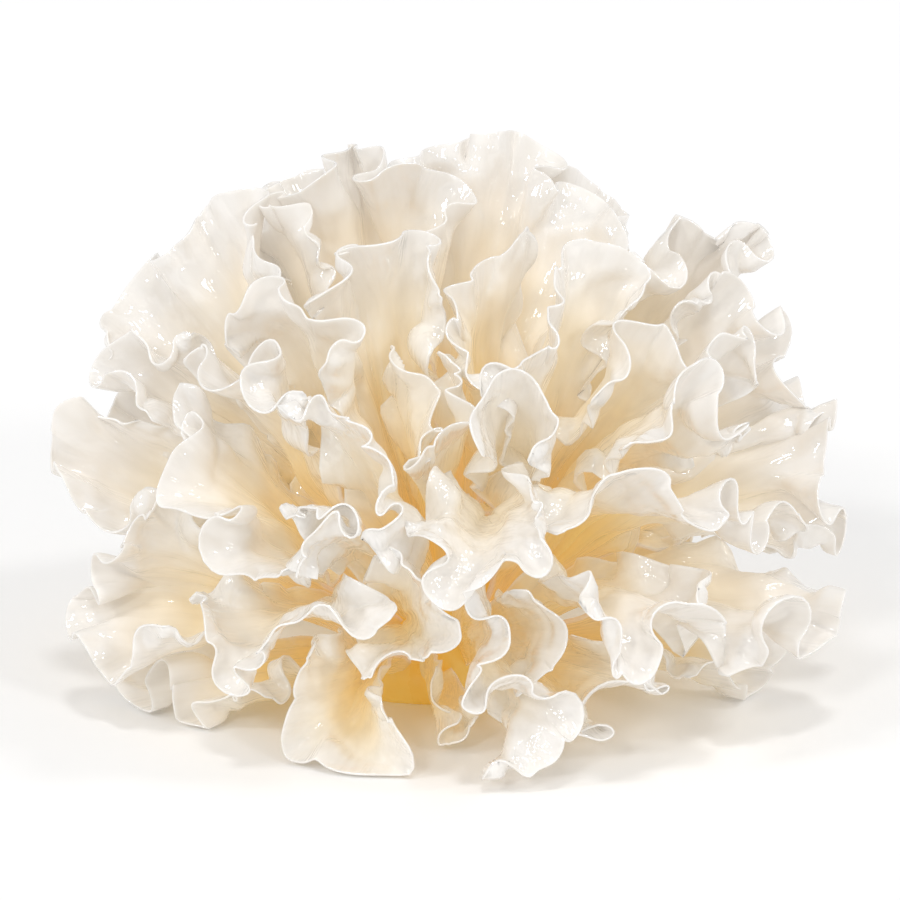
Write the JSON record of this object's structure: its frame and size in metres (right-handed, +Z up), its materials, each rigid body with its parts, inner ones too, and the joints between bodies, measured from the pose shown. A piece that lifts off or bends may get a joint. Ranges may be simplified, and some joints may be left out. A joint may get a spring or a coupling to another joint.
{
  "type": "snow fungus",
  "caption": "Fresh snow fungus: a rounded head of thin ruffled pale fronds forking from a small amber base, resting on the base's flat cut.",
  "frame": {"origin": "middle of the flat cut under the base, on the surface that the fungus stands on", "axes": "+Z up out of the cut, +X towards the right of the pictured side, -Y towards the picture's viewer"},
  "size_m": [0.1494, 0.1305, 0.099],
  "materials": {
    "frond_flesh": "wet, soft, half-clear jelly, near white at the rims and cream to amber towards the middle",
    "base_flesh": "damp amber jelly, firmer and rougher than the fronds"
  },
  "bodies": {
    "root": {"base": "base_flesh", "frond_upper_left": "frond_flesh", "frond_top_left": "frond_flesh", "frond_top_middle": "frond_flesh", "frond_top_right": "frond_flesh", "frond_right_shoulder": "frond_flesh", "frond_right_horn": "frond_flesh", "frond_lower_right": "frond_flesh", "frond_far_left": "frond_flesh", "frond_left_curl": "frond_flesh", "frond_lower_left": "frond_flesh", "frond_left_foot": "frond_flesh", "frond_crumpled_cap": "frond_flesh", "frond_left_middle": "frond_flesh", "frond_left_sheet": "frond_flesh", "frond_left_ring": "frond_flesh", "frond_inner_ribbon": "frond_flesh", "frond_middle_ridge": "frond_flesh", "frond_sweeping": "frond_flesh", "frond_right_middle": "frond_flesh", "frond_right_ribbon": "frond_flesh", "frond_right_crumpled": "frond_flesh", "frond_ear": "frond_flesh", "frond_ring_curl": "frond_flesh", "frond_trumpet": "frond_flesh", "frond_c_curl": "frond_flesh", "frond_front_left": "frond_flesh", "frond_bowl": "frond_flesh", "frond_foot": "frond_flesh", "frond_low_amber": "frond_flesh", "frond_front_ribbon": "frond_flesh", "frond_scalloped": "frond_flesh", "frond_low_middle": "frond_flesh", "frond_front_right": "frond_flesh", "frond_low_right": "frond_flesh", "frond_back_top_left": "frond_flesh", "frond_back_top_right": "frond_flesh", "frond_back_middle_left": "frond_flesh", "frond_back_middle": "frond_flesh", "frond_back_middle_right": "frond_flesh", "frond_back_low_left": "frond_flesh", "frond_back_lower_left": "frond_flesh", "frond_back_lower_middle": "frond_flesh", "frond_back_lower_right": "frond_flesh", "frond_back_low_right": "frond_flesh"}
  },
  "joints": []
}
